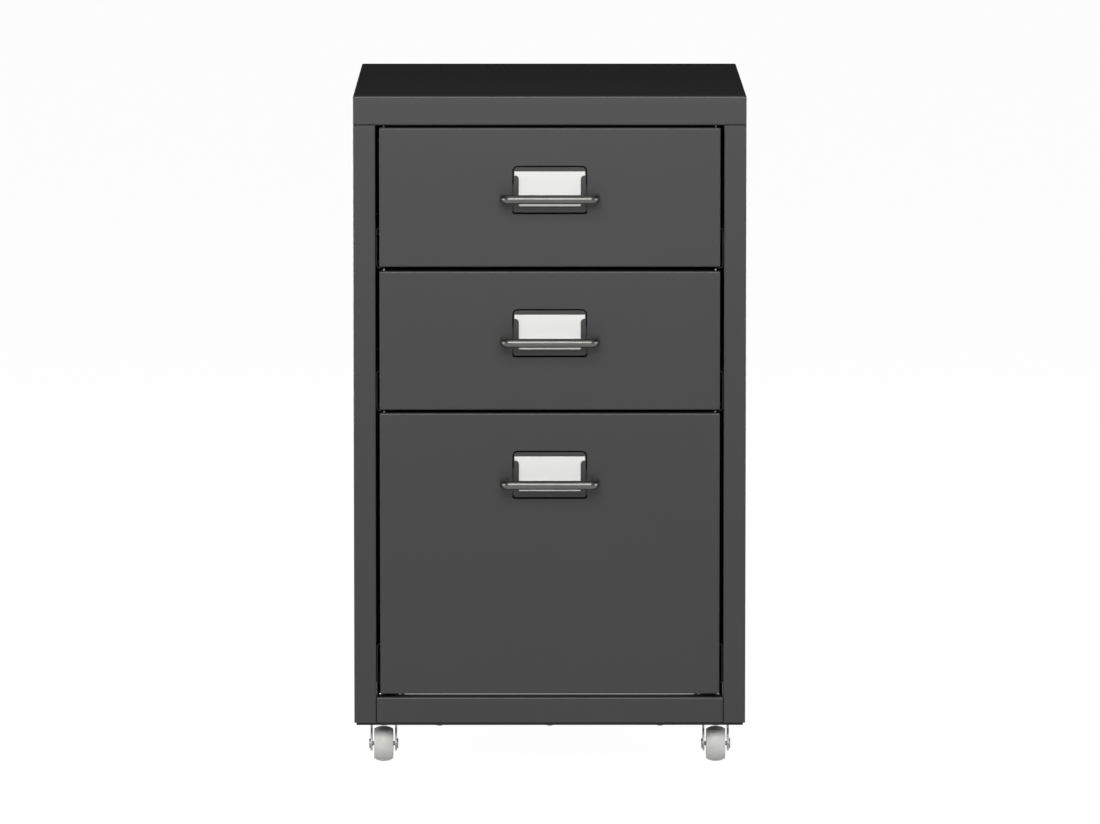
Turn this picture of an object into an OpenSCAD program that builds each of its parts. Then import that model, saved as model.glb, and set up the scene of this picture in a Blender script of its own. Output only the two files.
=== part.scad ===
// Mobile drawer pedestal in folded sheet steel: two shallow drawers over one deep
// drawer, each on a pair of ball slides, with four small swivel casters.
//
// Millimetres, +Z up, drawers facing -Y. The origin is on the floor, under the middle
// of the whole object with its handles. Inside the modules, y is counted backwards
// from the plane of the drawer faces, and at_front() moves it to that plane.

/* [Cabinet] */
// Overall width of the cabinet
body_w = 390; // [360:1:480]
// Depth of the cabinet, without the handles
body_d = 450; // [440:1:600]
// Height from the floor to the top
body_h = 670; // [640:1:760]
// Thickness of the shell's sheet
shell_sheet = 1; // [0.8:0.1:1.4]
// Outer radius of the shell's folds
fold_r = 2; // [1.6:0.1:3]
// Height of the top cover's rim
cover_h = 29.4; // [20:0.1:45]
// Width of the lip folded in under the cover's rim
cover_lip = 12; // [10:0.5:13]
// Width of the side panels' front and rear stiles
stile_w = 22.2; // [20:0.1:30]
// Depth of the front stile's return
stile_d = 34; // [30:1:45]
// Depth of the rear stile's return
rear_stile_d = 48; // [40:1:60]
// Width of the flanges that the panels are screwed through
flange_w = 15; // [14:0.5:18]

/* [Base] */
// Thickness of the base frame's sheet
base_sheet = 2.5; // [1.6:0.1:3]
// How far the base frame's edge lies inside the shell
base_inset = 2.1; // [1:0.1:4]
// Width of the base frame's side strips, which carry the casters
base_strip = 45; // [44:0.5:55]
// Depth of the base frame's front and rear strips
base_end_strip = 72; // [66:1:90]
// Height of the lip folded up round the base frame's window
window_lip = 10; // [6:1:14]
// Width of the slots in the base frame's side strips
strip_slot_w = 3.6; // [3:0.1:4]
// Length of those slots
strip_slot_len = 26; // [12:1:40]
// Height of the front rail under the drawers
rail_h = 26; // [22:0.5:34]
// Depth of the front rail's upper flange
rail_d = 22; // [16:1:33]
// Play between the rail's ends and the stiles
rail_play = 0.3; // [0.2:0.1:1]

/* [Drawers] */
// Height of each of the two shallow drawer fronts
shallow_front_h = 138.7; // [130:0.1:150]
// Gap between the cover and the top drawer's front
top_gap = 2.2; // [1.6:0.1:4]
// Gap between the top and the middle drawer's front
middle_gap = 3.9; // [2:0.1:5]
// Gap between the middle and the bottom drawer's front
bottom_gap = 2.9; // [2:0.1:5]
// Gap between the bottom drawer's front and the rail
rail_gap = 3; // [2:0.1:6]
// Gap between a drawer front and the stile beside it
side_gap = 3.6; // [2:0.1:5]
// Thickness of the drawer fronts' sheet
front_sheet = 1.2; // [1:0.1:1.5]
// Depth of the folded drawer fronts
front_d = 16; // [14:0.5:20]
// Width of the lip round a drawer front's open back
front_lip = 24; // [20:1:28]
// Thickness of the drawer boxes' sheet
box_sheet = 0.8; // [0.6:0.1:1]
// Distance from the top of a shallow front down to the top of its box
shallow_box_drop = 30.7; // [22:0.1:42]
// Distance from the top of the deep front down to the top of its box
deep_box_drop = 42.9; // [24:0.1:80]
// How far a box's floor lies above the lower edge of its front
box_lift = 3; // [2:0.5:8]
// Width of the lip folded in round a box's open top
box_lip = 8; // [5:0.5:10]
// Free space behind a drawer box
box_rear_gap = 38; // [34:1:60]
// How far a drawer pulls out
drawer_travel = 300; // [200:5:320]

/* [Slides] */
// Height of a cabinet rail
slide_h = 41; // [38:1:45]
// Width of a ball slide, from the stile to the drawer box
slide_w = 12.8; // [12.8:0.1:14]
// Free space between the rails' rear ends and the back of the cabinet
slide_rear_gap = 30; // [26:1:44]
// Thickness of the rails' sheet
slide_sheet = 1.2; // [1:0.1:1.2]
// Distance from the drawer faces to the rails' front ends
slide_start = 20; // [18:0.5:24]
// How far a shallow drawer's slide reaches below its front
shallow_slide_drop = 3.3; // [0:0.1:4]
// How far the deep drawer's slide stays above the lower edge of its front
deep_slide_rise = 7.4; // [2:0.1:20]
// Diameter of the balls
ball_d = 4.76; // [4:0.02:4.8]
// Radius of the grooves that the balls run in
race_r = 3; // [2.9:0.05:3.1]
// Clearance between a ball and its grooves
ball_play = 0.2; // [0.1:0.05:0.3]
// Number of balls in one row
ball_count = 6; // [4:1:8]
// Thickness of the ball cages' sheet
cage_sheet = 0.4; // [0.3:0.05:0.4]

/* [Handles] */
// Diameter of the bent rod
handle_rod = 9; // [7:0.5:10]
// Distance between the middles of the handle's legs
handle_span = 90; // [88:1:110]
// Distance from the drawer face to the front of the handle
handle_reach = 29.5; // [26:0.5:40]
// Radius of the rod's bends, at its middle
handle_bend_r = 5.5; // [5.5:0.5:12]
// Distance from the top of a drawer front to the handle's middle
handle_drop = 69.35; // [64:0.05:74]

/* [Label holders] */
// Distance from the top of a drawer front to the holder's cut-out
label_drop = 37.9; // [34:0.1:42]
// Width of the cut-out in the drawer front
cutout_w = 74.2; // [70:0.1:78]
// Height of the cut-out
cutout_h = 48.1; // [46:0.1:52]
// Gap round the sides and the top of the holder in its cut-out
holder_gap = 1.4; // [1:0.1:2]
// Gap under the holder
holder_foot_gap = 1.9; // [1:0.1:2.5]
// Thickness of the holder's sheet
holder_sheet = 0.8; // [0.6:0.1:1]
// Width of the lips at the holder's sides
holder_lip = 5; // [3:0.1:7]
// Height of the lip along the holder's foot
holder_foot_lip = 6; // [4:0.1:8]
// Thickness of the label card
card_sheet = 0.35; // [0.2:0.05:0.5]
// Distance from the top of the cut-out to the top of the card
card_drop = 5.6; // [4:0.1:8]

/* [Casters] */
// Diameter of the wheels
wheel_d = 35.4; // [30:0.2:36]
// Width of the wheels
wheel_w = 18.9; // [14:0.1:20]
// Height from the floor to the underside of the base
caster_h = 40.6; // [40.4:0.1:44]
// Distance from the base frame's side edges to the casters' kingpins
caster_inset = 26.7; // [25:0.1:29]
// Distance from the drawer faces, and from the back, to the kingpins
caster_y = 43; // [42:0.5:46]
// Distance from a kingpin's axis to its wheel's axle
caster_trail = 12; // [8:0.5:14]
// Thickness of the forks' sheet
fork_sheet = 1.8; // [1.4:0.1:2]
// Gap between a wheel and the fork beside it
wheel_gap = 1.9; // [1:0.05:2.5]
// Diameter of the axles
axle_d = 4.3; // [4:0.1:5]
// Diameter of the axles' heads
axle_head_d = 10; // [7:0.1:12]
// Length of the square mounting plates' sides
plate_side = 36; // [34:1:38]
// Thickness of the mounting plates
plate_t = 1.2; // [1.2:0.1:1.4]

/* [Hidden] */
$fn = 48;
DEEP = 2;
DRAWERS = [0, 1, 2];
DRAWER_NAMES = ["top", "middle", "bottom"];
SIDES = [-1, 1];
SIDE_NAMES = ["left", "right"];
ENDS = [0, 1];
END_NAMES = ["front", "rear"];

// Play of a shaft in its hole, on the radius, and between sheets that slide
shaft_play = 0.05;
sheet_play = 0.1;

// Heights and places in the cabinet
front_y = (handle_reach - body_d) / 2;
base_top = caster_h + base_sheet;
rim_z = body_h - cover_h;
rail_top = base_top + rail_h;
opening_w = body_w - 2 * stile_w;
front_w = opening_w - 2 * side_gap;
top_front_z = rim_z - top_gap - shallow_front_h;
middle_front_z = top_front_z - middle_gap - shallow_front_h;
deep_front_z = rail_top + rail_gap;
deep_front_h = middle_front_z - bottom_gap - deep_front_z;
front_z = [top_front_z, middle_front_z, deep_front_z];
front_h = [shallow_front_h, shallow_front_h, deep_front_h];
base_w = body_w - 2 * base_inset;
base_d = body_d - 2 * base_inset;
caster_x = base_w / 2 - caster_inset;

// Drawer boxes
box_w = opening_w - 2 * slide_w;
box_d = body_d - front_d - box_rear_gap;
box_h = front_h - [1, 1, 1] * box_lift - [shallow_box_drop, shallow_box_drop, deep_box_drop];
box_r = 1.8;

// Ball slides; u is counted from the stile to the drawer box, v up from the middle
race_u = slide_sheet + race_r;
curl_v = slide_h / 2 - slide_sheet - race_r;
ball_v = curl_v + race_r - ball_play - ball_d / 2;
trough_v = ball_v - ball_d / 2 - ball_play + race_r;
trough_half_angle = 30;
curl_tail = 0.6;
cage_gap = 0.25;
cage_drop = 1.12;
cage_stop = 5;
cage_margin = 10;
drawer_rail_setback = 10;
slide_len = body_d - slide_start - slide_rear_gap;
drawer_rail_len = slide_len - drawer_rail_setback;
cage_len = slide_len - drawer_travel / 2 - 2 * cage_stop;
ball_pitch = (cage_len - 2 * cage_margin) / (ball_count - 1);
slide_v = [for (i = DRAWERS)
    front_z[i] + slide_h / 2 + (i == DEEP ? deep_slide_rise : -shallow_slide_drop)];

// Handles and label holders
handle_axis_y = handle_rod / 2 - handle_reach;
holder_w = cutout_w - 2 * holder_gap;
holder_h = cutout_h - holder_gap - holder_foot_gap;
holder_top_r = 4;
holder_foot_r = 1.5;
holder_wing_margin = 11;
holder_wing_w = handle_span + 2 * holder_wing_margin;
holder_wing_h = 26;
holder_wing_r = 5;
holder_wing_y = front_sheet;
lip_sheet = 0.6;
lip_top_r = 3.7;
lip_drop = 9.6;
card_slot = card_sheet + 2 * sheet_play;
card_w = holder_w - 2 * lip_sheet - 2 * sheet_play;
card_h = cutout_h - card_drop - holder_foot_gap - lip_sheet;

// Casters
wheel_z = wheel_d / 2;
fork_inner = wheel_w + 2 * wheel_gap;
fork_outer = fork_inner + 2 * fork_sheet;
fork_foot_r = 7.1;
fork_fold_r = 2.4;
crown_back = 12;
crown_front = 14;
crown_rim = 5;
race_d = 24;
race_h = 0.8;
race_play = 0.2;
plate_z = caster_h - plate_t;
fork_top = plate_z - race_h;
kingpin_d = 7;
kingpin_head_d = 10.8;
kingpin_foot_d = 10;
kingpin_head_h = 1.7;
kingpin_reach = kingpin_head_h + race_play;
bolt_pitch = 27;
nut_d = 8.1;
nut_h = 3;
nut_play = 0.6;
axle_head_h = 1.4;
axle_head_bevel = 0.3;

// Screws: [shank diameter, head diameter, head height]
PAN_M4 = [3.9, 7, 2.5];
FLAT_M4 = [3.9, 7.4, slide_sheet];
HANDLE_M4 = [3.9, 8, 2.6];
hole_play = 0.1;

// ---------- Shared shapes ----------

module at_front() {
    translate([0, front_y, 0]) children();
}

// Rectangle with rounded corners, from its lowest corner
module round_rect(size, r) {
    translate([r, 0]) square([size.x - 2 * r, size.y]);
    translate([0, r]) square([size.x, size.y - 2 * r]);
    for (x = [r, size.x - r], y = [r, size.y - r]) translate([x, y]) circle(r);
}

// Rectangle whose two upper and two lower corners have their own radii, centred on x
module label_outline(w, h, top_r, foot_r) {
    for (s = SIDES) {
        translate([s * (w / 2 - top_r), h - top_r]) circle(top_r);
        translate([s * (w / 2 - foot_r), foot_r]) circle(foot_r);
    }
    translate([top_r - w / 2, foot_r]) square([w - 2 * top_r, h - foot_r]);
    translate([foot_r - w / 2, 0]) square([w - 2 * foot_r, foot_r]);
    translate([-w / 2, foot_r]) square([w, h - top_r - foot_r]);
}

// Block with all its edges rounded, as a folded sheet's outside
module folded_block(size, r) {
    intersection() {
        linear_extrude(size.z) round_rect([size.x, size.y], r);
        translate([0, size.y, 0]) rotate([90, 0, 0])
            linear_extrude(size.y) round_rect([size.x, size.z], r);
        rotate([90, 0, 90]) linear_extrude(size.x) round_rect([size.y, size.z], r);
    }
}

// Sheet box that is open on top but for a lip folded in all round
module lipped_pan(size, t, r, lip) {
    difference() {
        folded_block(size, r);
        translate([t, t, t]) folded_block(size - [2 * t, 2 * t, 2 * t], r - t);
        translate([lip, lip, size.z / 2]) cube([size.x - 2 * lip, size.y - 2 * lip, size.z]);
    }
}

function unit(v) = v / norm(v);
function turn(a, b) = a.x * b.y - a.y * b.x;

// Section of a sheet folded square along the points, with its thickness on the left
// of the way and the radius r outside every fold
module folded_section(points, t, r) {
    last = len(points) - 1;
    way = [for (i = [0:last - 1]) unit(points[i + 1] - points[i])];
    reach = [for (i = [0:last])
        i == 0 || i == last ? 0 : turn(way[i - 1], way[i]) > 0 ? r : r - t];
    for (i = [0:last - 1])
        translate(points[i] + way[i] * reach[i])
            rotate(atan2(way[i].y, way[i].x))
                square([norm(points[i + 1] - points[i]) - reach[i] - reach[i + 1], t]);
    for (i = [1:last - 1])
        translate(points[i] + (way[i] - way[i - 1]) * reach[i])
            intersection() {
                difference() {
                    circle(r);
                    circle(r - t);
                }
                polygon([[0, 0], way[i - 1] * r, (way[i - 1] - way[i]) * r, -way[i] * r]);
            }
}

// Screw along +Z: the head lies below z = 0 and the shank above it
module pan_screw(kind, length) {
    cylinder(d = kind[0], h = length);
    intersection() {
        translate([0, 0, -kind[2]]) cylinder(d = kind[1], h = kind[2]);
        translate([0, 0, kind[1] - kind[2]]) sphere(kind[1], $fn = 64);
    }
}

// Countersunk screw along +Z, its flat head ending at z = 0
module flat_screw(kind, length) {
    translate([0, 0, kind[2]]) cylinder(d = kind[0], h = length - kind[2]);
    cylinder(d1 = kind[1], d2 = kind[0], h = kind[2]);
}

module screw_hole(kind, length) {
    translate([0, 0, -length / 2]) cylinder(d = kind[0] + 2 * hole_play, h = length);
}

// ---------- Where the fasteners go ----------

cover_screw_inset = 40;
cover_screw_y = [cover_screw_inset, body_d / 2, body_d - cover_screw_inset];
cover_screw_x = body_w / 2 - flange_w / 2 - shell_sheet;
base_screw_inset = 90;
base_screw_y = [base_screw_inset, body_d / 2, body_d - base_screw_inset];
base_screw_x = body_w / 2 - flange_w / 2 - base_inset;
rail_edge = 8;
rail_screw_inset = 62.8;
rail_screw_x = [-1, 0, 1] * (opening_w / 2 - rail_screw_inset);
rail_screw_y = 13;
rail_foot_margin = 9;
strip_slot_margin = 1.7;
strip_slot_inset = 21;
strip_slot_x = [base_w / 2 - base_strip + base_sheet + strip_slot_margin,
    base_w / 2 - strip_slot_inset];
strip_slot_y = 196;
back_screw_inset = 50;
back_screw_z = [base_top + back_screw_inset, (base_top + rim_z) / 2, rim_z - back_screw_inset];
back_flange_d = 15;
back_screw_y = body_d - 0.6 * back_flange_d;
slide_screw_inset = 8;
slide_screw_y = [slide_start + slide_screw_inset, slide_start + slide_len - slide_screw_inset];
box_screw_x = box_w / 2 - box_lip;
box_screw_inset = 13;
function box_floor(i) = front_z[i] + box_lift;
function box_screw_z(i) = [box_floor(i) + box_screw_inset, box_floor(i) + box_h[i] - box_screw_inset];

// Room round the nuts of the casters' screws, above the base frame
module nut_clearances() {
    for (e = ENDS, s = SIDES) translate([s * caster_x, kingpin_y(e), base_top - nut_play])
        at_bolts() cylinder(d = nut_d + 2 * nut_play, h = nut_h + 2 * nut_play);
}

// ---------- Shell ----------

module top_cover() {
    color([0.32, 0.32, 0.33]) at_front()
        difference() {
            translate([-body_w / 2, body_d, body_h]) rotate([180, 0, 0])
                lipped_pan([body_w, body_d, cover_h], shell_sheet, fold_r, cover_lip + shell_sheet);
            for (s = SIDES, y = cover_screw_y)
                translate([s * cover_screw_x, y, rim_z]) screw_hole(PAN_M4, 8);
        }
}

// Wall with a boxed stile at its front and rear and a flange at its foot and top
module left_panel_shape() {
    height = rim_z - base_top;
    at_front() difference() {
        translate([-body_w / 2, 0, base_top]) {
            linear_extrude(height) folded_section([
                [stile_w, body_d - rear_stile_d],
                [stile_w, body_d],
                [0, body_d],
                [0, 0],
                [stile_w, 0],
                [stile_w, stile_d]], shell_sheet, fold_r);
            for (z = [0, height - shell_sheet])
                translate([shell_sheet / 2, fold_r, z])
                    cube([flange_w, body_d - 2 * fold_r, shell_sheet]);
        }
        for (y = cover_screw_y) translate([-cover_screw_x, y, rim_z]) screw_hole(PAN_M4, 8);
        for (y = base_screw_y) translate([-base_screw_x, y, base_top]) screw_hole(PAN_M4, 8);
        nut_clearances();
        for (i = DRAWERS, y = slide_screw_y)
            translate([-opening_w / 2, y, slide_v[i]]) rotate([0, 90, 0]) screw_hole(FLAT_M4, 8);
        for (z = back_screw_z)
            translate([-opening_w / 2, back_screw_y, z]) rotate([0, 90, 0]) screw_hole(PAN_M4, 8);
    }
}

module left_side_panel() {
    color([0.29, 0.29, 0.3]) left_panel_shape();
}

module right_side_panel() {
    color([0.29, 0.29, 0.3]) mirror([1, 0, 0]) left_panel_shape();
}

// Panel between the rear stiles, with flanges folded forward at its four edges
module back_panel() {
    height = rim_z - base_top;
    color([0.27, 0.27, 0.28]) at_front() difference() {
        translate([-opening_w / 2, body_d, base_top]) rotate([90, 0, 0])
            difference() {
                folded_block([opening_w, height, 2 * back_flange_d], fold_r);
                translate([shell_sheet, shell_sheet, shell_sheet])
                    folded_block([opening_w - 2 * shell_sheet, height - 2 * shell_sheet,
                        2 * back_flange_d], fold_r - shell_sheet);
                translate([-1, -1, back_flange_d])
                    cube([opening_w + 2, height + 2, 2 * back_flange_d]);
            }
        for (s = SIDES, z = back_screw_z)
            translate([s * opening_w / 2, back_screw_y, z]) rotate([0, 90, 0]) screw_hole(PAN_M4, 8);
    }
}

// Channel under the bottom drawer: a face, an upper flange with a down-turned edge,
// and a foot on the base frame
module front_rail() {
    rail_w = opening_w - 2 * rail_play;
    foot_d = rail_screw_y + rail_foot_margin;
    color([0.25, 0.25, 0.26]) at_front() difference() {
        translate([-rail_w / 2, 0, base_top]) rotate([90, 0, 90])
            linear_extrude(rail_w) folded_section([
                [rail_d, rail_h - rail_edge],
                [rail_d, rail_h],
                [0, rail_h],
                [0, 0],
                [foot_d, 0]], shell_sheet, fold_r);
        for (x = rail_screw_x) translate([x, rail_screw_y, base_top]) screw_hole(PAN_M4, 8);
        nut_clearances();
    }
}

// Frame with a large window, whose edge is folded up against bending
module base_frame() {
    window_w = base_w - 2 * base_strip;
    window_d = base_d - 2 * base_end_strip;
    window_r = 6;
    base_corner_r = 2;
    color([0.17, 0.17, 0.18]) at_front() translate([0, base_inset, caster_h]) difference() {
        union() {
            translate([-base_w / 2, 0, 0]) linear_extrude(base_sheet) round_rect([base_w, base_d], base_corner_r);
            translate([-window_w / 2 - base_sheet, base_end_strip - base_sheet, 0])
                linear_extrude(base_sheet + window_lip)
                    round_rect([window_w + 2 * base_sheet, window_d + 2 * base_sheet],
                        window_r + base_sheet);
        }
        translate([-window_w / 2, base_end_strip, -1]) linear_extrude(window_lip + 2 * base_sheet)
            round_rect([window_w, window_d], window_r);
        for (s = SIDES, e = ENDS, a = SIDES, b = SIDES)
            translate([s * caster_x + a * bolt_pitch / 2,
                    kingpin_y(e) - base_inset + b * bolt_pitch / 2, 0]) screw_hole(PAN_M4, 12);
        for (s = SIDES, y = base_screw_y)
            translate([s * base_screw_x, y - base_inset, 0]) screw_hole(PAN_M4, 12);
        for (x = rail_screw_x)
            translate([x, rail_screw_y - base_inset, 0]) screw_hole(PAN_M4, 12);
        for (s = SIDES, x = strip_slot_x)
            translate([s * x - strip_slot_w / 2, strip_slot_y - base_inset, -1])
                linear_extrude(2 * base_sheet)
                    round_rect([strip_slot_w, strip_slot_len], strip_slot_w / 2 - 0.01);
    }
}

// Pan-head screws through the cover's lip, the base and the back panel's flanges
module shell_screws() {
    color("silver") at_front() {
        for (s = SIDES, y = cover_screw_y)
            translate([s * cover_screw_x, y, rim_z - shell_sheet]) pan_screw(PAN_M4, 6);
        for (s = SIDES, y = base_screw_y)
            translate([s * base_screw_x, y, caster_h]) pan_screw(PAN_M4, 8);
        for (x = rail_screw_x)
            translate([x, rail_screw_y, caster_h]) pan_screw(PAN_M4, 8);
        for (s = SIDES, z = back_screw_z)
            translate([s * (opening_w / 2 - shell_sheet), back_screw_y, z])
                rotate([0, s * 90, 0]) pan_screw(PAN_M4, 6);
    }
}

// ---------- Ball slides ----------

// Puts a slide's section, drawn in u and v, beside drawer i on side s, from y on
module at_slide(i, s, y, length) {
    at_front() translate([s * opening_w / 2, y + length, slide_v[i]])
        rotate([90, 0, 0]) linear_extrude(length) scale([-s, 1]) children();
}

module at_slide_screw(i, s, y) {
    at_front() translate([s * (opening_w / 2 - slide_sheet), y, slide_v[i]])
        rotate([0, s * 90, 0]) children();
}

// Rail on the stiles: a web, and above and below it a curl round the balls
module cabinet_rail_section() {
    for (m = SIDES) scale([1, m]) {
        square([slide_sheet, curl_v]);
        translate([race_u, curl_v]) intersection() {
            difference() {
                circle(race_r + slide_sheet);
                circle(race_r);
            }
            translate([-slide_h, 0]) square(2 * slide_h);
        }
        translate([race_u + race_r, curl_v - curl_tail]) square([slide_sheet, curl_tail]);
    }
}

module cabinet_rail(i, s) {
    color([0.62, 0.63, 0.65]) difference() {
        at_slide(i, s, slide_start, slide_len) cabinet_rail_section();
        for (y = slide_screw_y) at_slide_screw(i, s, y) {
            cylinder(d1 = FLAT_M4[1] + 2 * hole_play, d2 = FLAT_M4[0] + 2 * hole_play, h = slide_sheet);
            screw_hole(FLAT_M4, 8);
        }
    }
}

// Rail on the drawer box: a web, and above and below it a flange with a trough
module drawer_rail_section() {
    flange_v = trough_v - race_r - slide_sheet;
    square_half = race_r * 3;
    for (m = SIDES) scale([1, m]) {
        translate([slide_w - slide_sheet, 0]) square([slide_sheet, flange_v + slide_sheet]);
        difference() {
            translate([race_u, flange_v]) square([slide_w - race_u, slide_sheet]);
            translate([race_u, trough_v]) circle(race_r);
        }
        translate([race_u, trough_v]) intersection() {
            difference() {
                circle(race_r + slide_sheet);
                circle(race_r);
            }
            polygon([[0, 0],
                [-square_half * tan(trough_half_angle), -square_half],
                [square_half * tan(trough_half_angle), -square_half]]);
        }
    }
}

module drawer_rail(i, s) {
    color([0.66, 0.67, 0.69])
        at_slide(i, s, slide_start, drawer_rail_len) drawer_rail_section();
}

// Retainer with a row of balls above and below, free to run at half the drawer's way
module ball_cage(i, s) {
    cage_u = slide_sheet + cage_gap;
    cage_w = race_u + race_r - cage_gap - cage_u;
    cage_v = ball_v - cage_drop;
    start = slide_start + drawer_travel / 2 + cage_stop;
    ball_y = [for (k = [0:ball_count - 1]) start + cage_margin + k * ball_pitch];
    difference() {
        at_slide(i, s, start, cage_len) {
            translate([cage_u, -cage_v]) square([cage_sheet, 2 * cage_v]);
            for (m = SIDES) scale([1, m])
                translate([cage_u, cage_v - cage_sheet / 2]) square([cage_w, cage_sheet]);
        }
        at_front() for (y = ball_y, m = SIDES)
            translate([s * (opening_w / 2 - race_u), y, slide_v[i] + m * cage_v])
                cylinder(d = ball_d + 2 * sheet_play, h = 4 * cage_sheet, center = true);
    }
    at_front() for (y = ball_y, m = SIDES)
        translate([s * (opening_w / 2 - race_u), y, slide_v[i] + m * ball_v])
            sphere(d = ball_d, $fn = 24);
}

module ball_cages(i) {
    color([0.75, 0.72, 0.62]) for (s = SIDES) ball_cage(i, s);
}

// Countersunk screws that hold the cabinet rails to the stiles
module rail_screws() {
    color("silver") for (i = DRAWERS, s = SIDES, y = slide_screw_y)
        at_slide_screw(i, s, y) flat_screw(FLAT_M4, 7);
}

// ---------- Drawers ----------

// Folded tray with a cut-out for the label holder and holes for the handle
module drawer_front(i) {
    color([0.3, 0.3, 0.31]) at_front() difference() {
        translate([-front_w / 2, 0, front_z[i] + front_h[i]]) rotate([-90, 0, 0])
            lipped_pan([front_w, front_h[i], front_d], front_sheet, box_r, front_lip);
        at_face(i, cutout_bottom(i), -1, 3 * front_sheet)
            label_outline(cutout_w, cutout_h, holder_top_r + holder_gap, holder_foot_r + 1);
        for (s = SIDES) translate([s * handle_span / 2, 0, handle_z(i)])
            rotate([90, 0, 0]) screw_hole(HANDLE_M4, 8);
        at_box_screws(i) screw_hole(PAN_M4, 8);
    }
}

// Open tray behind the front
module drawer_box(i) {
    color([0.33, 0.33, 0.34]) at_front() difference() {
        translate([-box_w / 2, front_d, box_floor(i)])
            lipped_pan([box_w, box_d, box_h[i]], box_sheet, box_r, box_lip);
        at_box_screws(i) screw_hole(PAN_M4, 8);
    }
}

function handle_z(i) = front_z[i] + front_h[i] - handle_drop;
function cutout_bottom(i) = front_z[i] + front_h[i] - label_drop - cutout_h;

// Draws an outline in x and z at height z, and extrudes it backwards from y
module at_face(i, z, y, depth) {
    translate([0, y + depth, z]) rotate([90, 0, 0]) linear_extrude(depth) children();
}

// Puts children where the box is screwed to its front, +Z pointing forwards
module at_box_screws(i) {
    for (s = SIDES, z = box_screw_z(i))
        translate([s * box_screw_x, front_d + box_sheet, z]) rotate([90, 0, 0]) children();
}

// Rod bent twice: two legs, two bends and the grip
module drawer_handle(i) {
    straight = handle_span - 2 * handle_bend_r;
    leg = -handle_axis_y - handle_bend_r;
    color([0.6, 0.6, 0.58]) at_front() translate([0, 0, handle_z(i)]) {
        translate([-straight / 2, handle_axis_y, 0]) rotate([0, 90, 0])
            cylinder(d = handle_rod, h = straight);
        for (s = SIDES) scale([s, 1, 1]) {
            translate([handle_span / 2, 0, 0]) rotate([90, 0, 0]) difference() {
                cylinder(d = handle_rod, h = leg);
                translate([0, 0, -1]) cylinder(d = HANDLE_M4[0] + 2 * hole_play, h = 11);
            }
            translate([straight / 2, handle_axis_y + handle_bend_r, 0]) rotate([0, 0, -90])
                rotate_extrude(angle = 90) translate([handle_bend_r, 0]) circle(d = handle_rod);
        }
    }
}

// Pressed plate behind the front; its raised middle fills the cut-out and carries
// the lips that hold the card
module label_holder(i) {
    foot_z = cutout_bottom(i) + holder_foot_gap;
    wing_z = handle_z(i) - holder_wing_h / 2;
    lip_top = cutout_h - lip_drop - holder_foot_gap;
    lip_y = -card_slot - lip_sheet;
    color([0.29, 0.29, 0.3]) at_front() {
        difference() {
            union() {
                at_face(i, foot_z, 0, holder_wing_y + holder_sheet)
                    label_outline(holder_w, holder_h, holder_top_r, holder_foot_r);
                at_face(i, wing_z, holder_wing_y, holder_sheet) translate([-holder_wing_w / 2, 0])
                    round_rect([holder_wing_w, holder_wing_h], holder_wing_r);
            }
            at_face(i, foot_z + holder_sheet, holder_sheet, 2 * holder_wing_y)
                label_outline(holder_w - 2 * holder_sheet, holder_h - 2 * holder_sheet,
                    holder_top_r - holder_sheet, holder_foot_r - holder_sheet);
            for (s = SIDES) translate([s * handle_span / 2, 0, handle_z(i)])
                rotate([90, 0, 0]) screw_hole(HANDLE_M4, 8);
        }
        at_face(i, foot_z, lip_y, -lip_y) intersection() {
            label_outline(holder_w, holder_h, holder_top_r, holder_foot_r);
            difference() {
                translate([-holder_w / 2, 0]) square([holder_w, lip_top]);
                translate([lip_sheet - holder_w / 2, lip_sheet])
                    square([holder_w - 2 * lip_sheet, holder_h]);
            }
        }
        at_face(i, foot_z, lip_y, lip_sheet) intersection() {
            label_outline(holder_w, holder_h, holder_top_r, holder_foot_r);
            difference() {
                union() {
                    translate([-holder_w / 2, 0]) square([holder_w, holder_foot_lip]);
                    for (s = SIDES) scale([s, 1]) translate([holder_w / 2 - holder_lip, 0]) {
                        square([holder_lip, lip_top - lip_top_r]);
                        translate([lip_top_r, 0]) square([holder_lip - lip_top_r, lip_top]);
                        translate([lip_top_r, lip_top - lip_top_r]) circle(lip_top_r);
                    }
                }
                translate([-holder_w / 2, lip_top]) square([holder_w, holder_h]);
            }
        }
    }
}

// Loose card in the holder, standing on the fold at its foot
module label_card(i) {
    color([0.92, 0.92, 0.91]) at_front()
        at_face(i, cutout_bottom(i) + holder_foot_gap + lip_sheet, -card_slot + sheet_play, card_sheet)
            translate([-card_w / 2, 0]) square([card_w, card_h]);
}

// Screws of one drawer: two for its handle, four between the box and the front
module drawer_screws(i) {
    color("silver") at_front() {
        for (s = SIDES)
            translate([s * handle_span / 2, holder_wing_y + holder_sheet, handle_z(i)])
                rotate([90, 0, 0]) pan_screw(HANDLE_M4, 11);
        at_box_screws(i) pan_screw(PAN_M4, 7);
    }
}

// ---------- Casters ----------

function kingpin_y(e) = e == 0 ? caster_y : body_d - caster_y;

// Puts children on the kingpin's axis of the caster at end e and side s
module at_kingpin(e, s) {
    at_front() translate([s * caster_x, kingpin_y(e), 0]) children();
}

module at_bolts() {
    for (a = SIDES, b = SIDES) translate([a * bolt_pitch / 2, b * bolt_pitch / 2, 0]) children();
}

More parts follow.
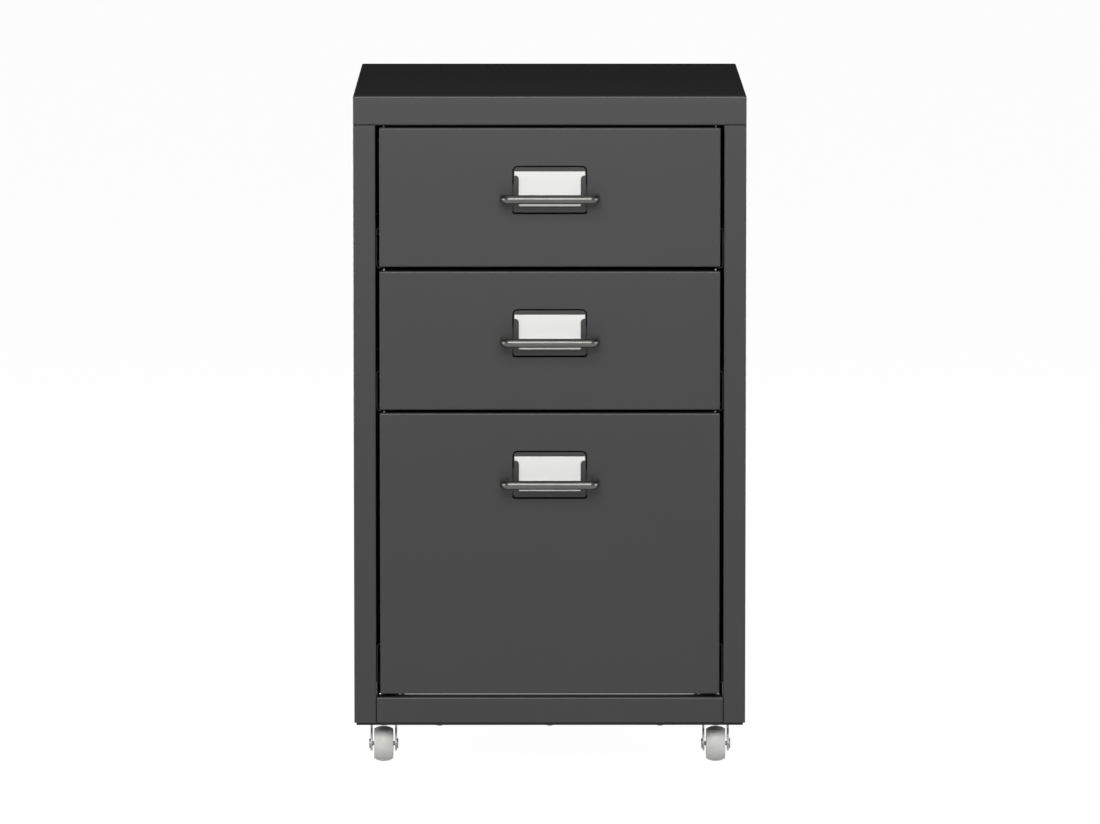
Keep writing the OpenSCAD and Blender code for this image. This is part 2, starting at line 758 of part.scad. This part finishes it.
// Square plate with the pressed race under it and the riveted kingpin
module caster_plate(e, s) {
    color([0.68, 0.68, 0.7]) at_kingpin(e, s) {
        difference() {
            translate([-plate_side / 2, -plate_side / 2, plate_z])
                linear_extrude(plate_t) round_rect([plate_side, plate_side], 4);
            at_bolts() translate([0, 0, plate_z]) {
                screw_hole(FLAT_M4, 8);
                cylinder(d1 = FLAT_M4[1] + 2 * hole_play, d2 = FLAT_M4[0] + 2 * hole_play, h = FLAT_M4[2]);
            }
        }
        translate([0, 0, fork_top + race_play])
            cylinder(d1 = race_d - 2, d2 = race_d, h = race_h - race_play);
        translate([0, 0, fork_top - fork_sheet - kingpin_reach])
            cylinder(d = kingpin_d, h = fork_sheet + kingpin_reach + race_h);
        translate([0, 0, fork_top - fork_sheet - kingpin_reach])
            cylinder(d1 = kingpin_foot_d, d2 = kingpin_head_d, h = kingpin_head_h);
    }
}

// Where the line from the point p touches the circle of radius r round c, on side k
function touch(p, c, r, k) =
    let (d = c - p, far = norm(d), a = atan2(d.y, d.x) + 180 + k * acos(r / far))
    c + r * [cos(a), sin(a)];

// Side view of the fork in y and z, with the kingpin's axis at y = 0
module fork_side() {
    foot = [-caster_trail, wheel_z];
    front_top = [-crown_front, fork_top];
    back_top = [crown_back, fork_top];
    front_edge = front_top - [0, crown_rim];
    back_edge = back_top - [0, crown_rim];
    translate(foot) circle(fork_foot_r);
    polygon([back_top, front_top, front_edge, touch(front_edge, foot, fork_foot_r, 1),
        foot, touch(back_edge, foot, fork_foot_r, -1), back_edge]);
}

// Sheet folded over the wheel, with the kingpin's hole and the axle's two holes
module fork(e, s) {
    color([0.66, 0.66, 0.68]) at_kingpin(e, s) difference() {
        intersection() {
            translate([-fork_outer / 2, 0, 0]) rotate([90, 0, 90])
                linear_extrude(fork_outer) fork_side();
            translate([0, wheel_d, 0]) rotate([90, 0, 0]) linear_extrude(2 * wheel_d)
                folded_section([
                    [fork_outer / 2, 0],
                    [fork_outer / 2, fork_top],
                    [-fork_outer / 2, fork_top],
                    [-fork_outer / 2, 0]], fork_sheet, fork_fold_r);
        }
        cylinder(d = kingpin_d + 2 * shaft_play, h = 2 * fork_top);
        translate([0, -caster_trail, wheel_z]) rotate([0, 90, 0])
            cylinder(d = axle_d + 2 * shaft_play, h = 2 * fork_outer, center = true);
    }
}

// Rivet through the fork and the wheel, with a flat head at each end
module axle(e, s) {
    color([0.5, 0.5, 0.52]) at_kingpin(e, s) translate([0, -caster_trail, wheel_z])
        rotate([0, 90, 0]) {
            cylinder(d = axle_d, h = fork_outer, center = true);
            for (m = SIDES) scale([1, 1, m]) translate([0, 0, fork_outer / 2]) {
                cylinder(d = axle_head_d, h = axle_head_h - axle_head_bevel);
                translate([0, 0, axle_head_h - axle_head_bevel])
                    cylinder(d1 = axle_head_d, d2 = axle_head_d - 2 * axle_head_bevel,
                        h = axle_head_bevel);
            }
        }
}

// Wheel with a tread as round as a ball, a hub, a rim, and ribs between them on both faces
module wheel(e, s) {
    hub_r = 6.5;
    rim_r = wheel_d / 2 - 4.5;
    web = 4;
    rib_count = 6;
    rib_t = 1.2;
    rib_w = wheel_w - 2;
    overlap = 0.5;
    color([0.8, 0.8, 0.8]) at_kingpin(e, s) translate([0, -caster_trail, wheel_z])
        rotate([0, 90, 0]) {
            difference() {
                intersection() {
                    sphere(d = wheel_d, $fn = 96);
                    cylinder(d = wheel_d, h = wheel_w, center = true);
                }
                cylinder(d = axle_d + 2 * shaft_play, h = 2 * wheel_w, center = true);
                for (m = SIDES) scale([1, 1, m]) translate([0, 0, web / 2]) difference() {
                    cylinder(r = rim_r, h = wheel_w);
                    translate([0, 0, -1]) cylinder(r = hub_r, h = wheel_w + 2);
                }
            }
            for (k = [0:rib_count - 1]) rotate(k * 360 / rib_count)
                translate([hub_r - overlap, -rib_t / 2, -rib_w / 2])
                    cube([rim_r - hub_r + 2 * overlap, rib_t, rib_w]);
        }
}

// Countersunk screws through the casters' plates and the base frame, with nuts above
module caster_bolts() {
    color("silver") for (e = ENDS, s = SIDES) at_kingpin(e, s) at_bolts() {
        translate([0, 0, plate_z]) flat_screw(FLAT_M4, plate_t + base_sheet + nut_h + 1);
        translate([0, 0, base_top]) difference() {
            cylinder(d = nut_d, h = nut_h, $fn = 6);
            translate([0, 0, -1]) cylinder(d = FLAT_M4[0] + hole_play, h = nut_h + 2);
        }
    }
}

// ---------- The whole object ----------

top_cover();
left_side_panel();
right_side_panel();
back_panel();
front_rail();
base_frame();
shell_screws();
rail_screws();
caster_bolts();

for (i = DRAWERS) {
    name = DRAWER_NAMES[i];
    drawer_front(i);
    drawer_box(i);
    drawer_handle(i);
    label_holder(i);
    label_card(i);
    drawer_screws(i);
    ball_cages(i);
    for (k = [0, 1]) {
        side = str(name, "_", SIDE_NAMES[k]);
        cabinet_rail(i, SIDES[k]);
        drawer_rail(i, SIDES[k]);
    }
}

for (e = ENDS, k = [0, 1]) {
    corner = str(END_NAMES[e], "_", SIDE_NAMES[k]);
    caster_plate(e, SIDES[k]);
    fork(e, SIDES[k]);
    axle(e, SIDES[k]);
    wheel(e, SIDES[k]);
}
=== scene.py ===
"""Scene of the small metal drawer cabinet: materials, small fittings, light and camera."""
import math

import bmesh
import bpy
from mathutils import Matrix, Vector


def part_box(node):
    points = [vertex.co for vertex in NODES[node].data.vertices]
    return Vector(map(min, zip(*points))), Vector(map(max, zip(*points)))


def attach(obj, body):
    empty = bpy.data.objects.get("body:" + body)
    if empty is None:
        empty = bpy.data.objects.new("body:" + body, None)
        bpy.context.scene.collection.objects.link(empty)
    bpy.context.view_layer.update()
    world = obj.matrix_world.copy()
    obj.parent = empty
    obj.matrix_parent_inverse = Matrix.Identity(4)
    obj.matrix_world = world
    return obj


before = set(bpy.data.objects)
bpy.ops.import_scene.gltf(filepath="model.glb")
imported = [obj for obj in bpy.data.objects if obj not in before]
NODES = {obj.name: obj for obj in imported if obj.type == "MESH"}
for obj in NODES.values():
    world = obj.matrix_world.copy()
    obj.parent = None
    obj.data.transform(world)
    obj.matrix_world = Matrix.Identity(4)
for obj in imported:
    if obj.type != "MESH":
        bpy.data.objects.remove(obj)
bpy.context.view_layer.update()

DRAWERS = ("top", "middle", "bottom")
SIDES = ("left", "right")
ENDS = ("front", "rear")
FRONT_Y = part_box("left_side_panel")[0][1]


# ---------- Materials ----------

def linear(*values):
    """sRGB numbers from 0 to 255 as a linear RGBA colour; one number is a grey."""
    if len(values) == 1:
        values = values * 3
    shares = [v / 255 for v in values]
    return tuple(s / 12.92 if s <= 0.04045 else ((s + 0.055) / 1.055) ** 2.4
                 for s in shares) + (1.0,)


def scaled(colour, factor):
    return tuple(c * factor for c in colour[:3]) + (1.0,)


class Graph:
    """A material's nodes; places are the object's own coordinates, in metres."""

    def __init__(self, name):
        self.material = bpy.data.materials.new(name)
        self.material.use_nodes = True
        self.tree = self.material.node_tree
        self.shader = self.tree.nodes["Principled BSDF"]
        self.place = self.add("ShaderNodeTexCoord").outputs["Object"]

    def add(self, kind, inputs=None, **settings):
        node = self.tree.nodes.new(kind)
        for key, value in settings.items():
            setattr(node, key, value)
        for key, value in (inputs or {}).items():
            self.put(node.inputs[key], value)
        return node

    def put(self, socket, value):
        if isinstance(value, bpy.types.NodeSocket):
            self.tree.links.new(value, socket)
        else:
            socket.default_value = value

    def along(self, x, y, z):
        return self.add("ShaderNodeMapping",
                        {"Vector": self.place, "Scale": (x, y, z)}).outputs["Vector"]

    def noise(self, scale, detail=3.0, vector=None):
        return self.add("ShaderNodeTexNoise", {
            "Vector": vector or self.place, "Scale": scale,
            "Detail": detail, "Roughness": 0.55}).outputs["Fac"]

    def spread(self, value, low, high, start=0.3, end=0.7):
        return self.add("ShaderNodeMapRange", {
            "Value": value, "From Min": start, "From Max": end,
            "To Min": low, "To Max": high}).outputs["Result"]

    def calc(self, kind, a, b):
        return self.add("ShaderNodeMath", {0: a, 1: b}, operation=kind).outputs["Value"]

    def mix(self, factor, a, b):
        node = self.add("ShaderNodeMix", data_type="RGBA")
        for index, value in ((0, factor), (6, a), (7, b)):
            self.put(node.inputs[index], value)
        return node.outputs[2]

    def bump(self, height, distance, strength=0.5, normal=None):
        inputs = {"Height": height, "Distance": distance, "Strength": strength}
        if normal:
            inputs["Normal"] = normal
        return self.add("ShaderNodeBump", inputs).outputs["Normal"]

    def rounded(self, radius):
        return self.add("ShaderNodeBevel", {"Radius": radius}, samples=4).outputs["Normal"]

    def shade(self, colour, roughness, normal, metallic=0.0, specular=0.5):
        for key, value in (("Base Color", colour), ("Roughness", roughness),
                           ("Normal", normal), ("Metallic", metallic),
                           ("Specular IOR Level", specular)):
            self.put(self.shader.inputs[key], value)
        return self.material


def powder_coat(name, colour, roughness=0.42, specular=0.62, groove=None):
    """Fine-grained powder coat; where a groove's y is given, the paint lying deeper than it is
    darkened as painted shade in the groove.

    The grain is about 1.2 mm across, the speck 0.3 mm and the cloud 140 mm."""
    g = Graph(name)
    grain = g.noise(850, 2)
    speck = g.noise(3000, 2)
    cloud = g.noise(7, 3)
    tone = g.calc("ADD", g.calc("MULTIPLY", g.spread(speck, 0, 1), 0.35),
                 g.calc("MULTIPLY", g.spread(cloud, 0, 1), 0.65))
    paint = g.mix(tone, scaled(colour, 0.95), scaled(colour, 1.05))
    if groove is not None:
        # Painted shade: behind the groove's y the paint is darkened to stand for the shade in
        # the gap round the label holder.
        y = g.add("ShaderNodeSeparateXYZ", {"Vector": g.place}).outputs["Y"]
        painted_groove_shade = g.spread(y, 0, 1, groove - GROOVE_EDGE, groove + GROOVE_EDGE)
        paint = g.mix(painted_groove_shade, paint, scaled(colour, GROOVE_PAINTED_SHADE))
    height = g.calc("ADD", grain, g.calc("MULTIPLY", speck, 0.5))
    return g.shade(paint, g.spread(grain, roughness - 0.05, roughness + 0.05),
                   g.bump(height, 0.00006, 0.4, g.rounded(0.0004)), specular=specular)


def drawn_metal(name, colour, roughness, lines, metallic=1.0, depth=0.00002):
    """Plated sheet or rod; lines gives the scale of the drawing marks along x, y, z."""
    g = Graph(name)
    marks = g.noise(1, 2, g.along(*lines))
    cloud = g.noise(60, 3)
    tone = g.calc("ADD", g.calc("MULTIPLY", g.spread(marks, 0, 1), 0.5),
                 g.calc("MULTIPLY", g.spread(cloud, 0, 1), 0.5))
    return g.shade(g.mix(tone, scaled(colour, 0.88), scaled(colour, 1.08)),
                   g.spread(marks, roughness - 0.07, roughness + 0.07),
                   g.bump(marks, depth, 0.4, g.rounded(0.0003)), metallic=metallic)


def nylon(name, colour):
    """Moulded wheel plastic with a faintly scuffed tread."""
    g = Graph(name)
    cloud = g.noise(160, 4)
    scuff = g.noise(900, 2)
    tone = g.calc("MULTIPLY", g.spread(cloud, 0, 1), 0.8)
    return g.shade(g.mix(tone, scaled(colour, 0.93), scaled(colour, 1.03)),
                   g.spread(scuff, 0.38, 0.52),
                   g.bump(scuff, 0.00005, 0.4, g.rounded(0.0004)), specular=0.4)


def paper(name, colour):
    """Card with short fibres."""
    g = Graph(name)
    fibres = g.noise(1, 4, g.along(2600, 2600, 900))
    return g.shade(g.mix(g.spread(fibres, 0, 1), scaled(colour, 0.975), colour),
                   0.9, g.bump(fibres, 0.00003, 0.4), specular=0.2)


PAINT = linear(38)
# Painted shade in the label holder's groove: paint behind this y is darkened to a fraction of
# its own colour.
GROOVE_Y = FRONT_Y + 0.00115
GROOVE_EDGE = 0.00005
GROOVE_PAINTED_SHADE = 0.2
MATERIALS = {
    "shell": powder_coat("shell_powder_coat", PAINT),
    "front": powder_coat("front_powder_coat", PAINT),
    "holder": powder_coat("holder_powder_coat_painted_groove_shade", PAINT, groove=GROOVE_Y),
    "box": powder_coat("box_powder_coat", linear(42)),
    # Painted shade: the base's paint is darker and less glossy than the shell's, standing for
    # the shade under the shell's lower edge.
    "base": powder_coat("base_powder_coat_painted_shade", linear(26), roughness=0.6, specular=0.3),
    "nickel": drawn_metal("satin_nickel", linear(102, 102, 100), 0.33, (90, 2600, 2600)),
    "zinc": drawn_metal("zinc_plate", linear(162, 163, 165), 0.52, (500, 500, 900)),
    "rail": drawn_metal("rolled_zinc_strip", linear(66, 67, 69), 0.4, (2600, 40, 2600)),
    "axle": drawn_metal("axle_steel", linear(140), 0.38, (900, 900, 900)),
    "ball": drawn_metal("ball_steel", linear(182), 0.22, (700, 700, 700)),
    "wheel": nylon("wheel_nylon", linear(208, 208, 206)),
    "card": paper("label_paper", linear(230, 230, 228)),
}
NODE_FINISH = {
    "top_cover": "shell", "left_side_panel": "shell", "right_side_panel": "shell",
    "back_panel": "shell", "front_rail": "shell", "base_frame": "base",
    "shell_screws": "zinc", "rail_screws": "zinc", "caster_bolts": "zinc",
}
for drawer in DRAWERS:
    for piece, finish in (("drawer_front", "front"), ("drawer_box", "box"),
                          ("drawer_handle", "nickel"), ("label_holder", "holder"),
                          ("label_card", "card"), ("drawer_screws", "zinc"),
                          ("ball_cages", "ball"), ("left_cabinet_rail", "rail"),
                          ("right_cabinet_rail", "rail"), ("left_drawer_rail", "rail"),
                          ("right_drawer_rail", "rail")):
        NODE_FINISH[f"{drawer}_{piece}"] = finish
for end in ENDS:
    for side in SIDES:
        for piece, finish in (("caster_plate", "zinc"), ("fork", "zinc"),
                              ("axle", "axle"), ("wheel", "wheel")):
            NODE_FINISH[f"{end}_{side}_{piece}"] = finish

for node, finish in NODE_FINISH.items():
    slots = NODES[node].material_slots
    for index in range(len(slots)):
        slots[index].material = MATERIALS[finish]


# ---------- Small fittings ----------

def lathe(name, profile, place, axis, finish, body, steps=24):
    """Revolves (radius, height) points about the axis through the place."""
    mesh = bmesh.new()
    rings = []
    for radius, height in profile:
        if radius < 1e-7:
            rings.append([mesh.verts.new((0, 0, height))])
        else:
            rings.append([mesh.verts.new((radius * math.cos(2 * math.pi * k / steps),
                                          radius * math.sin(2 * math.pi * k / steps), height))
                          for k in range(steps)])
    for low, high in zip(rings, rings[1:]):
        for k in range(steps):
            a, b = low[k % len(low)], low[(k + 1) % len(low)]
            c, d = high[(k + 1) % len(high)], high[k % len(high)]
            corners = []
            for corner in (a, b, c, d):
                if corner not in corners:
                    corners.append(corner)
            mesh.faces.new(corners)
    turn = Vector((0, 0, 1)).rotation_difference(Vector(axis)).to_matrix().to_4x4()
    turn.translation = Vector(place)
    mesh.transform(turn)
    bmesh.ops.recalc_face_normals(mesh, faces=mesh.faces)
    data = bpy.data.meshes.new(name)
    mesh.to_mesh(data)
    mesh.free()
    data.shade_smooth()
    piece = bpy.data.objects.new(name, data)
    bpy.context.scene.collection.objects.link(piece)
    piece.data.materials.append(MATERIALS[finish])
    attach(piece, body)
    return piece


# Pale buffer studs on the drawers' top folds
STUD_X = 0.1646
STUD_DEPTH = 0.0062
STUD_PROFILE = ((0, 0.0019), (0.0004, 0.00185), (0.0007, 0.0017), (0.0008, 0.0014),
                (0.0008, -0.0002), (0, -0.0002))
for drawer in DRAWERS:
    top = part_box(f"{drawer}_drawer_front")[1][2]
    for side, sign in zip(SIDES, (-1, 1)):
        lathe(f"{drawer}_{side}_buffer_stud", STUD_PROFILE,
              (sign * STUD_X, FRONT_Y + STUD_DEPTH, top), (0, 0, 1),
              "wheel", f"{drawer}_drawer")


# ---------- Floor, world, light and camera ----------

FLOOR_RADIUS = 240
FLOOR_Z = -0.0002
FLOOR_BOUNCE = linear(205)
FLOOR_UNDER_WHITE = linear(90)
FLOOR_WHITE = 0.975
WORLD_STRENGTH = 0.02


def ground():
    """Pale floor: rays that see it find white with a faint shadow, diffuse rays a pale grey."""
    mesh = bmesh.new()
    bmesh.ops.create_circle(mesh, cap_ends=True, segments=96, radius=FLOOR_RADIUS)
    data = bpy.data.meshes.new("floor")
    mesh.to_mesh(data)
    mesh.free()
    floor = bpy.data.objects.new("floor", data)
    floor.location.z = FLOOR_Z
    bpy.context.scene.collection.objects.link(floor)
    g = Graph("pale_floor")
    g.tree.nodes.remove(g.shader)
    rays = g.add("ShaderNodeLightPath").outputs
    seen = g.calc("MAXIMUM", g.calc("MAXIMUM", rays["Is Camera Ray"], rays["Is Glossy Ray"]),
                  rays["Is Transmission Ray"])
    pale = g.mix(seen, FLOOR_BOUNCE, FLOOR_UNDER_WHITE)
    diffuse = g.add("ShaderNodeBsdfDiffuse", {"Color": pale}).outputs["BSDF"]
    white = g.add("ShaderNodeEmission", {
        "Color": (1, 1, 1, 1),
        "Strength": g.calc("MULTIPLY", seen, FLOOR_WHITE)}).outputs["Emission"]
    both = g.add("ShaderNodeAddShader", {0: diffuse, 1: white}).outputs["Shader"]
    g.put(g.tree.nodes["Material Output"].inputs["Surface"], both)
    data.materials.append(g.material)


# name, place, target, width and height in metres, watts
LAMPS = (
    ("main", (-0.1, -2.785, 1.855), (0, -0.2, 0.45), (2.1, 1.55), 75),
    ("overhead", (0, -0.3, 3.2), (0, -0.28, 0.4), (3.0, 2.4), 13),
    ("left_side", (-2.2, -0.75, 0.8), (-0.2, -0.1, 0.4), (1.2, 0.8), 18),
    ("right_side", (2.2, -0.75, 0.8), (0.2, -0.1, 0.4), (1.2, 0.8), 16),
    ("left_rear", (-1.5, 2.3, 0.36), (0, 0.2, 0.4), (1.0, 0.5), 24),
    ("right_rear", (1.5, 2.3, 0.36), (0, 0.2, 0.4), (1.0, 0.5), 20),
)


def lamp(name, place, target, size, watts):
    light = bpy.data.lights.new(name, "AREA")
    light.shape = "RECTANGLE"
    light.size, light.size_y = size
    light.energy = watts
    light.color = (1, 1, 1)
    piece = bpy.data.objects.new(name, light)
    piece.location = place
    way = Vector(target) - Vector(place)
    piece.rotation_euler = way.to_track_quat("-Z", "Y").to_euler()
    piece.visible_camera = False
    bpy.context.scene.collection.objects.link(piece)


ground()
world = bpy.data.worlds.new("studio")
world.use_nodes = True
background = world.node_tree.nodes["Background"]
background.inputs["Color"].default_value = (1, 1, 1, 1)
background.inputs["Strength"].default_value = WORLD_STRENGTH
bpy.context.scene.world = world

for row in LAMPS:
    lamp(*row)

# The photograph's viewpoint, in metres; the distance is measured from the front face
FOCAL_PX = 8420.836
IMAGE_W = 1100
SENSOR_MM = 36
CAMERA_DISTANCE = 8.313708
CAMERA_X = -0.015737
CAMERA_Z = 1.293937
CAMERA_PITCH = math.radians(6.44243)
CAMERA_YAW = math.radians(0.11008)
VIEW_DEPTH = 600
view = bpy.data.cameras.new("camera")
view.sensor_fit = "HORIZONTAL"
view.sensor_width = SENSOR_MM
view.lens = FOCAL_PX / IMAGE_W * SENSOR_MM
view.clip_end = VIEW_DEPTH
camera = bpy.data.objects.new("camera", view)
camera.location = (CAMERA_X, FRONT_Y - CAMERA_DISTANCE, CAMERA_Z)
camera.rotation_euler = (math.pi / 2 - CAMERA_PITCH, 0, -CAMERA_YAW)
bpy.context.scene.collection.objects.link(camera)
bpy.context.scene.camera = camera
bpy.context.scene.view_settings.view_transform = "Standard"
